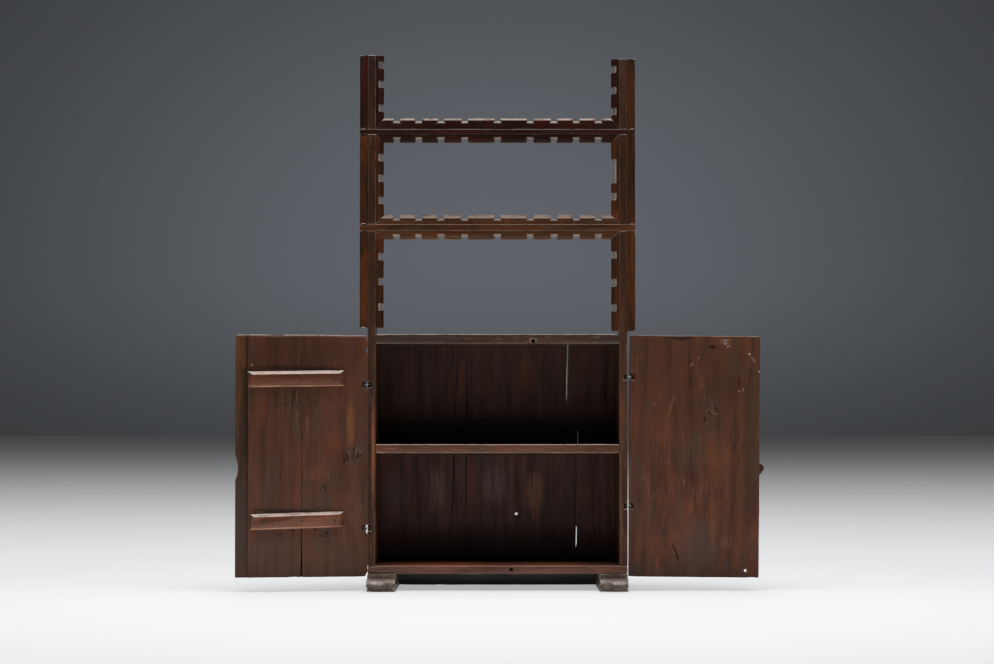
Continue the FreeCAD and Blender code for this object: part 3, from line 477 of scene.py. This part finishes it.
batten_wood = wood("batten_wood", tint(54, 26, 13), tint(86, 49, 29), tint(96, 50, 25), tint(72, 47, 34),
                   tint(196, 164, 146), wax=0.7, rub_and_highlight=0.35, dust_and_highlight=0.85, flecks=0.15, marks=BATTEN_MARKS)
right_wood = wood("right_door_wood", tint(42, 23, 14), tint(72, 43, 30), tint(82, 46, 28), tint(54, 41, 32),
                  tint(128, 92, 74), wax=0.12, rub_and_highlight=0.25, contrast=0.75, scuffs=0.3, flecks=0.3,
                  inner_only=True, knots=((150, 563, 12),), marks=RIGHT_DOOR_MARKS)
button_wood = wood("button_wood", tint(32, 19, 12), tint(66, 42, 30), tint(70, 42, 26), tint(42, 31, 25),
                   tint(118, 86, 68))
# The hinges' near-white bright colour is a painted highlight on their edges
hinge_iron = iron("hinge_iron", tint(40, 38, 38), tint(70, 52, 42), tint(236, 232, 228))
nail_iron = iron("nail_iron", tint(34, 27, 24), tint(56, 37, 28), tint(84, 74, 68))


# Pieces worked from their solids

WELD = 0.02
MARGIN_SHARE = 2.5
SEAM_ROOM = 15
CHIP_SPREAD = 9


def convexity(vert):
    """How far a vertex stands out from its neighbours: over 0 on an arris, under 0 in a corner."""
    lean = [vert.normal.dot((vert.co - edge.other_vert(vert).co).normalized()) for edge in vert.link_edges]
    return sum(lean) / len(lean)


def cut_across(work, axis, spots):
    """Cuts a mesh by planes square to an axis."""
    normal = Vector([float(index == axis) for index in range(3)])
    for spot in spots:
        everything = work.verts[:] + work.edges[:] + work.faces[:]
        bmesh.ops.bisect_plane(work, geom=everything, plane_co=normal * spot, plane_no=normal, dist=1e-6)


def soften(work, soft, shortest):
    """Rounds the arrises, but for the shortest."""
    sharp = [edge for edge in work.edges if len(edge.link_faces) == 2
             and edge.calc_length() > shortest * MM and edge.calc_face_angle() > math.radians(25)]
    bmesh.ops.bevel(work, geom=sharp, offset=soft * MM, offset_type="OFFSET", segments=2, profile=0.6,
                    affect="EDGES", clamp_overlap=True)


def divide(work, low, high, pitches, margin, levels):
    """Cuts faces into small ones, so that they can be made uneven, and at given levels."""
    size = high - low
    for axis in range(3):
        count = round(size[axis] / (pitches[axis] * MM))
        spots = [low[axis] + size[axis] * index / count for index in range(1, count)]
        if size[axis] > 3 * margin:
            spots += [low[axis] + margin, high[axis] - margin]
        cut_across(work, axis, spots)
    cut_across(work, 2, levels)
    bmesh.ops.triangulate(work, faces=[face for face in work.faces if len(face.verts) > 4])
    work.normal_update()


def notch_floors(work, low, high, side, bare_and_lit_from):
    """The vertices of slanted faces that lie deep in a strip, counted from the edge that they face."""
    found = set()
    for face in work.faces:
        slant, centre = face.normal[side], face.calc_center_median()
        depth = high[side] - centre[side] if slant > 0 else centre[side] - low[side]
        if min(abs(slant), abs(face.normal.y)) > 0.5 and depth > bare_and_lit_from * MM:
            found.update(face.verts)
    return found


def wear_down(work, stand_out, chance, uneven, ragged, chips, chip, keep_off):
    """Makes faces uneven and arrises ragged, and knocks chips off the arrises away from the seams."""
    seed = Vector([chance.uniform(-9, 9) for axis in range(3)])
    arris = [vert.co.copy() for vert, out in zip(work.verts, stand_out) if out > 0.12
             and all(abs(vert.co.x - ORIGIN.x - seam * MM) > SEAM_ROOM * MM for seam in keep_off)]
    dents = [(chance.choice(arris), chance.uniform(0.5, 1.0)) for count in range(chips if arris else 0)]
    moves = []
    for vert, out in zip(work.verts, stand_out):
        spot = vert.co
        wave = noise.noise(spot * 11 + seed) * 0.65 + noise.noise(spot * 37 + seed) * 0.35
        inward = uneven * (0.5 + wave)
        if out > 0.05:
            rough = noise.noise(spot * 60 - seed) + 0.6 * noise.noise(spot * 19 - seed)
            inward += ragged * max(0.0, 0.35 + rough)
        for centre, strength in dents:
            near = (spot - centre).length / (CHIP_SPREAD * strength * MM * chip)
            if near < 1:
                inward += chip * strength * (1 - near * near) ** 2
        moves.append(vert.normal * -max(0.0, inward) * MM)
    for vert, move in zip(work.verts, moves):
        vert.co += move


def note(mesh, name, kind, numbers):
    """Writes one attribute on a mesh's points."""
    attribute = mesh.attributes.new(name, kind, "POINT")
    attribute.data.foreach_set("vector" if kind == "FLOAT_VECTOR" else "value", numbers)


def hewn(node, material, soft=1.6, uneven=0.5, ragged=0.8, chips=3, chip=2.0, pitch=16, side_pitch=22,
         shortest=3.0, bare_and_lit_from=None, keep_off=(), levels=(), form=None):
    """Works a piece from its solid, where it is when shut, and puts it where the solid is.

    Sizes are millimetres. The grain runs along the longest side."""
    chance = random.Random(node)
    source = frame["nodes"][node]
    body = source["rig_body"]
    work = bmesh.new()
    work.from_mesh(source.data)
    work.transform(STILL[body].inverted())
    bmesh.ops.remove_doubles(work, verts=work.verts, dist=WELD * MM)
    bmesh.ops.dissolve_limit(work, angle_limit=math.radians(1), verts=work.verts, edges=work.edges)
    low = Vector([min(vert.co[axis] for vert in work.verts) for axis in range(3)])
    high = Vector([max(vert.co[axis] for vert in work.verts) for axis in range(3)])
    size = high - low
    middle = (low + high) / 2
    through, across, along = sorted(range(3), key=lambda axis: size[axis])

    soften(work, soft, shortest)
    pitches = [pitch if axis == along else side_pitch for axis in range(3)]
    divide(work, low, high, pitches, MARGIN_SHARE * soft * MM, levels)
    # The notch faces found here get bare wood and painted light
    bare_and_lit = notch_floors(work, low, high, 0 if along == 2 else 2, bare_and_lit_from) if bare_and_lit_from else ()
    bare_and_lit_share = [float(vert in bare_and_lit) for vert in work.verts]
    stand_out = [convexity(vert) for vert in work.verts]
    wear_down(work, stand_out, chance, uneven, ragged, chips, chip, keep_off)
    offset = Vector((chance.uniform(-0.03, 0.03), chance.uniform(-0.03, 0.0), chance.uniform(-40, 40)))
    home = [vert.co.copy() for vert in work.verts]
    if form:
        for vert in work.verts:
            vert.co = form(vert.co.copy(), middle)

    name = f"old_{node}"
    mesh = bpy.data.meshes.new(name)
    work.to_mesh(mesh)
    work.free()
    grain = [Vector([(spot - middle)[axis] for axis in (across, through, along)]) + offset for spot in home]
    note(mesh, "grain", "FLOAT_VECTOR", [part for spot in grain for part in spot])
    note(mesh, "place", "FLOAT_VECTOR", [part for spot in home for part in spot - ORIGIN])
    note(mesh, "wear_and_highlight", "FLOAT", [min(1.0, max(0.0, out * 3.2)) for out in stand_out])
    note(mesh, "bare_and_lit", "FLOAT", bare_and_lit_share)
    mesh.transform(STILL[body])
    mesh.polygons.foreach_set("use_smooth", [True] * len(mesh.polygons))
    mesh.set_sharp_from_angle(angle=math.radians(48))
    mesh.materials.append(material)
    piece = bpy.data.objects.new(name, mesh)
    bpy.context.scene.collection.objects.link(piece)
    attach(piece, body)
    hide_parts(node)


# Changes of form that age has made. Each takes a point and the middle of its piece, and gives the new point.

HINGE_REACH = 14
GROOVE_REACH, GROOVE_DEEP = 18, 16
LIP_INSIDE, LIP_DEEP, LIP_OVER = 4, 1.3, 0.8
EYE_ROOM = 8.5
FOOT_ROOM, FOOT_FADE = 5, 10
plank_low, plank_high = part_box("back_plank_3")


def height_of(node):
    """The height of a node's middle."""
    return sum(corner.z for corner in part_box(node)) / 2


def closed_up(share):
    """Widens a plank a little about its middle, so that its joints stay dark."""
    def form(spot, middle):
        spot.x += math.copysign(share * MM, spot.x - middle.x)
        return spot
    return form


def slit(widest, top_down, stretches):
    """Draws a back plank's left edge over its slit, but for the stretches where daylight shows.

    Each stretch is (from, to, share left open)."""
    def form(spot, middle):
        rise = (spot.z - plank_low.z) / (plank_high.z - plank_low.z)
        gap = widest * (rise if top_down else 1 - rise) + 1.0
        left_open = [share for start, end, share in stretches if start <= spot.z / MM <= end]
        if spot.x < middle.x:
            spot.x -= gap * (1 - max(left_open, default=0.0)) * MM
        return spot
    return form


def settled(sink, reach):
    """Lets a board down to the floor and out to what stands at its ends."""
    def form(spot, middle):
        spot.x += math.copysign(reach * MM, spot.x - middle.x)
        if spot.z < middle.z:
            spot.z = max(0.0, spot.z - sink * MM)
        return spot
    return form


def groove(seam, closing, opening, rise):
    """Closes a seam of the left door but for a groove in its inner face that opens towards its foot."""
    def form(spot, middle):
        side = math.copysign(1.0, middle.x - ORIGIN.x - seam * MM)
        near = max(0.0, 1 - abs(spot.x - ORIGIN.x - seam * MM) / (GROOVE_REACH * MM))
        low = max(0.0, 1 - (spot.z - DOOR_FOOT * MM) / (rise * MM))
        inner = max(0.0, min(1.0, 1 + (spot.y - ORIGIN.y) / (GROOVE_DEEP * MM)))
        spot.x -= side * near * (closing - opening * inner * low ** 1.5) * MM
        return spot
    return form


def hinge_side(edge, low_reach, high_reach):
    """Draws a door's hinge edge out towards the post, from one reach at its foot to another at its top."""
    def form(spot, middle):
        near = max(0.0, min(1.0, 1 - abs(spot.x - ORIGIN.x - edge * MM) / (HINGE_REACH * MM)))
        rise = spot.z / MM - DOOR_FOOT
        reach = low_reach + (high_reach - low_reach) * rise / DOOR_HEIGHT
        spot.x += math.copysign(near * reach * min(1.0, max(0.0, rise - 0.5)) * MM, edge)
        return spot
    return form


def lipped(edge, reach, lip, eyes):
    """Draws the left door's hinge edge out a little and the arris of its inner face to a thin lip.

    The lip closes the joint to the post, but for the door's foot and the places of the hinge eyes."""
    heights = [height_of(eye) for eye in eyes]

    def form(spot, middle):
        inside = spot.x - ORIGIN.x - edge * MM
        deep = ORIGIN.y - FACE_GAP * MM - spot.y
        share = min(1.0, max(0.0, (spot.z / MM - DOOR_FOOT - FOOT_ROOM) / FOOT_FADE))
        clear = all(abs(spot.z - height) > EYE_ROOM * MM for height in heights)
        if inside < LIP_INSIDE * MM and deep < LIP_DEEP * MM and clear:
            spot.x -= share * (inside + lip * MM)
            spot.y += share * (deep + LIP_OVER * MM)
        else:
            spot.x -= share * reach * max(0.0, 1 - inside / (HINGE_REACH * MM)) * MM
        return spot
    return form


def worn_top(tall, deep):
    """Wears the upper arris of the left door's inner face to a slope."""
    def form(spot, middle):
        below = (DOOR_FOOT + DOOR_HEIGHT) * MM - spot.z
        if spot.y > middle.y:
            spot.y -= max(0.0, 1 - below / (tall * MM)) * deep * MM
        return spot
    return form


def planed(node, tall, steep, slope):
    """Makes the upper and lower bevels of a batten less tall, and lets the batten slope a little."""
    low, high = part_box(node)

    def form(spot, middle):
        for end, side in ((high.z, 1.0), (low.z, -1.0)):
            inside = side * (end - spot.z) / MM
            if 0 < inside < 2 * tall:
                less = (tall - steep) * min(inside / tall, 2 - inside / tall)
                spot.z += side * less * MM
        spot.z -= slope * (spot.x - middle.x)
        return spot
    return form


def swollen(share):
    """Makes a small piece a little larger about its middle, but not thicker."""
    def form(spot, middle):
        away = (spot - middle) * share
        return spot + Vector((away.x, 0.0, away.z))
    return form


def both(first, second):
    """Two changes of form, one after the other."""
    return lambda spot, middle: second(first(spot, middle), middle)


hinge_board_form = both(groove(DOOR_SEAMS[0], 0.7, 5.4, 330), lipped(LEFT_EDGE, 1.2, 4.3, LEFT_EYES))
door_top = worn_top(4.6, 3.2)
FORMS = {
    "left_door_hinge_board": both(hinge_board_form, door_top),
    "left_door_middle_board": both(groove(DOOR_SEAMS[0], 0.7, 3.4, 330), door_top),
    "left_door_edge_strip": both(groove(DOOR_SEAMS[1], 0.9, 0.0, 300), door_top),
    "left_door_upper_batten": planed("left_door_upper_batten", 12, 9, 0.017),
    "left_door_lower_batten": planed("left_door_lower_batten", 12, 8.5, 0.027),
    "right_door_board": hinge_side(RIGHT_EDGE, 1.0, 4.0),
    "turn_button": swollen(0.12),
    "rear_sill_rail": settled(2.0, 2.5),
    "back_plank_4": slit(5.9, True, ((596, 900, 0.62), (505, 596, 0.22))),
    "back_plank_5": slit(2.9, False, ((124, 184, 0.8), (452, 496, 0.9))),
}
FORMS.update({f"back_plank_{number}": closed_up(0.5) for number in (1, 2, 3)})

# Extra cuts above and below each hinge eye, where the lip ends
LEVELS = {"left_door_hinge_board": [height_of(eye) + off * MM for eye in LEFT_EYES for off in (-9, -8, 8, 9)]}

# How each slot's pieces are worked, and the pieces whose wood differs from their slot's
WORK = {
    "foot_wood": (foot_wood, {"soft": 4.0, "uneven": 1.2, "ragged": 1.6, "chips": 10, "chip": 3.0}),
    "sill_wood": (sill_wood, {"soft": 2.0, "uneven": 0.8}),
    "carcass_wood": (post_wood, {"soft": 2.4, "uneven": 0.6, "ragged": 1.0, "chips": 6}),
    "board_wood": (board_wood, {"soft": 3.2, "uneven": 0.8, "ragged": 0.9, "chips": 8, "shortest": 4.0}),
    "back_wood": (back_wood, {"soft": 0.8, "uneven": 0.25, "ragged": 0.1, "chips": 0}),
    "ledge_wood": (lower_wood, {"soft": 2.2, "uneven": 0.6, "chips": 6}),
    "strip_wood": (stile_wood, {"soft": 1.4, "uneven": 0.5, "ragged": 0.6, "chips": 3, "side_pitch": 12,
                                "bare_and_lit_from": 7.6}),
    "outer_strip_wood": (stile_wood, {"soft": 1.6, "uneven": 0.8, "ragged": 0.8, "side_pitch": 12}),
    "left_door_wood": (left_wood, {"soft": 1.8, "uneven": 0.5, "ragged": 0.5, "chips": 9,
                                   "keep_off": DOOR_SEAMS}),
    "batten_wood": (batten_wood, {"soft": 1.4, "uneven": 0.6, "side_pitch": 12}),
    "right_door_wood": (right_wood, {"soft": 2.2, "uneven": 0.9, "ragged": 1.4, "chips": 14}),
    "button_wood": (button_wood, {"soft": 1.6, "uneven": 0.5, "pitch": 8, "side_pitch": 8}),
    "peg_wood": (foot_wood, {"soft": 0.6, "uneven": 0.2, "ragged": 0.2, "chips": 0, "shortest": 0.2}),
    "iron": (hinge_iron, {"soft": 0.8, "uneven": 0.15, "ragged": 0.1, "chips": 0, "side_pitch": 6, "pitch": 6,
                          "shortest": 0.2}),
    "nail_iron": (nail_iron, {"soft": 0.5, "uneven": 0.3, "ragged": 0.2, "chips": 0, "pitch": 400,
                              "side_pitch": 400, "shortest": 0.2}),
}
OTHER_WOOD = {"left_door_edge_strip": edge_wood, "bottom_board": base_wood, "top_board": top_wood}
for node in ("upper_ledge", "top_bay_sill_strip", "middle_bay_head_strip", "top_bay_left_strip",
             "top_left_outer_strip", "top_bay_right_strip"):
    OTHER_WOOD[node] = upper_wood_painted_shade
for node in ("middle_bay_sill_strip", "lower_bay_head_strip"):
    OTHER_WOOD[node] = lower_wood

for node, slot in slots.items():
    material, manner = WORK[slot]
    hewn(node, OTHER_WOOD.get(node, material), form=FORMS.get(node), levels=LEVELS.get(node, ()), **manner)


# Stage: a pale floor that falls off to grey, a grey background and soft light

FLOOR_REACH, FLOOR_FALL = 3000.0, 9.7
FLOOR_POOL = (0.0, -1.2, 0.0)
FLOOR_PAINT, FLOOR_DIM = (0.84, 0.84, 0.84, 1), (0.2, 0.2, 0.2, 1)
WORLD_LIGHT = 0.006
POOL_LEVEL, POOL_WIDE, POOL_ABOVE, POOL_BELOW = 0.0835, 0.225, 0.164, 0.078


def seen_directly(web):
    """Is 1 for what the camera sees, straight on or in a gloss or glass, and 0 for light on the object."""
    path = web.add("ShaderNodeLightPath").node.outputs
    total = path["Is Camera Ray"]
    for name in ("Is Glossy Ray", "Is Transmission Ray"):
        total = web.maths("MAXIMUM", total, path[name])
    return total


def make_floor():
    """A pale floor, bright before the object and grey far behind it, that keeps the object's shadow."""
    near, far = -FLOOR_REACH, FLOOR_REACH
    mesh = bpy.data.meshes.new("floor")
    mesh.from_pydata([(near, near, 0), (far, near, 0), (far, far, 0), (near, far, 0)], [], [(0, 1, 2, 3)])
    web = Web(bpy.data.materials.new("floor_paint"))
    spot = web.add("ShaderNodeNewGeometry", out="Position")
    away = web.add("ShaderNodeVectorMath", {0: spot, 1: FLOOR_POOL}, out="Value", operation="DISTANCE")
    fall = web.maths("POWER", web.maths("DIVIDE", away, FLOOR_FALL), 1.7)
    nearness = web.maths("DIVIDE", 1.0, web.maths("ADD", fall, 1.0))
    glow = web.add("ShaderNodeEmission", {"Color": web.mix(nearness, tint(66, 68, 70), tint(242, 243, 244))})
    seen = seen_directly(web)
    dimmer = web.mix(web.steps(away, 0.8, 2.6), FLOOR_PAINT, FLOOR_DIM)
    paint = web.add("ShaderNodeBsdfDiffuse", {"Color": web.mix(seen, dimmer, FLOOR_PAINT)})
    share = web.maths("MULTIPLY", web.steps(away, 1.4, 3.6, 0.48, 1.0), seen)
    web.end(web.add("ShaderNodeMixShader", {0: share, 1: paint, 2: glow}))
    mesh.materials.append(web.owner)
    floor = bpy.data.objects.new("floor", mesh)
    bpy.context.scene.collection.objects.link(floor)


def make_world():
    """A dim world that lights, and behind the object a grey wall with a soft pool of light on it."""
    web = Web(bpy.data.worlds.new("studio"))
    x, y, z = web.parts(web.add("ShaderNodeTexCoord", out="Generated"))
    ahead = web.maths("MAXIMUM", y, 0.01)
    across = web.maths("DIVIDE", web.maths("DIVIDE", x, ahead), POOL_WIDE)
    up = web.maths("SUBTRACT", web.maths("DIVIDE", z, ahead), POOL_LEVEL)
    above = web.maths("DIVIDE", web.maths("MAXIMUM", up, 0.0), POOL_ABOVE)
    below = web.maths("DIVIDE", web.maths("MINIMUM", up, 0.0), POOL_BELOW)
    spread = web.maths("MULTIPLY", across, across)
    for part in (above, below):
        spread = web.maths("MULTIPLY_ADD", part, part, spread)
    pool = web.maths("POWER", math.e, web.maths("MULTIPLY", spread, -1.0))
    wall = web.add("ShaderNodeBackground", {"Color": web.mix(pool, tint(51, 53, 54), tint(96, 99, 105))})
    light = web.add("ShaderNodeBackground", {"Color": (0.95, 0.97, 1.0, 1.0), "Strength": WORLD_LIGHT})
    either = web.add("ShaderNodeMixShader", {0: seen_directly(web), 1: light, 2: wall})
    web.end(either, "ShaderNodeOutputWorld")
    bpy.context.scene.world = web.owner


def make_softbox(name, spot, aim, wide, tall, power, in_gloss=True):
    """A wide lamp that the camera doesn't see. Places and sizes are metres."""
    lamp = bpy.data.lights.new(name, "AREA")
    lamp.shape = "RECTANGLE"
    lamp.size = wide
    lamp.size_y = tall
    lamp.energy = power
    box = bpy.data.objects.new(name, lamp)
    box.location = spot
    box.rotation_euler = (Vector(aim) - Vector(spot)).to_track_quat("-Z", "Y").to_euler()
    box.visible_camera = False
    box.visible_glossy = in_gloss
    bpy.context.scene.collection.objects.link(box)


def make_camera(spot, tilt, focal_length, shift_pixels):
    """Stands the camera before the object, level with the shelf, with a small tilt up and a small shift."""
    lens = bpy.data.cameras.new("view")
    lens.sensor_width = 36
    lens.lens = focal_length
    lens.shift_y = shift_pixels / IMAGE_WIDTH
    camera = bpy.data.objects.new("view", lens)
    camera.location = spot
    camera.rotation_euler = (math.pi / 2 + math.radians(tilt), 0, 0)
    bpy.context.scene.collection.objects.link(camera)
    bpy.context.scene.camera = camera


make_floor()
make_world()
make_softbox("overhead_light", spot=(0.0, -0.9, 3.6), aim=(0.0, -0.7, 0.0), wide=5.0, tall=3.0, power=210)
make_softbox("back_light", spot=(0.0, 3.4, 2.6), aim=(0.0, 0.2, 0.7), wide=4.0, tall=2.4, power=56,
             in_gloss=False)
make_softbox("floor_bounce", spot=(0.0, -1.15, 0.01), aim=(0.0, -1.15, 1.0), wide=7.0, tall=1.8, power=85,
             in_gloss=False)
make_camera(spot=(-0.0135, -6.554, 0.479), tilt=1.495, focal_length=76.0, shift_pixels=48)
bpy.context.scene.view_settings.view_transform = "Standard"

bpy.context.view_layer.update()
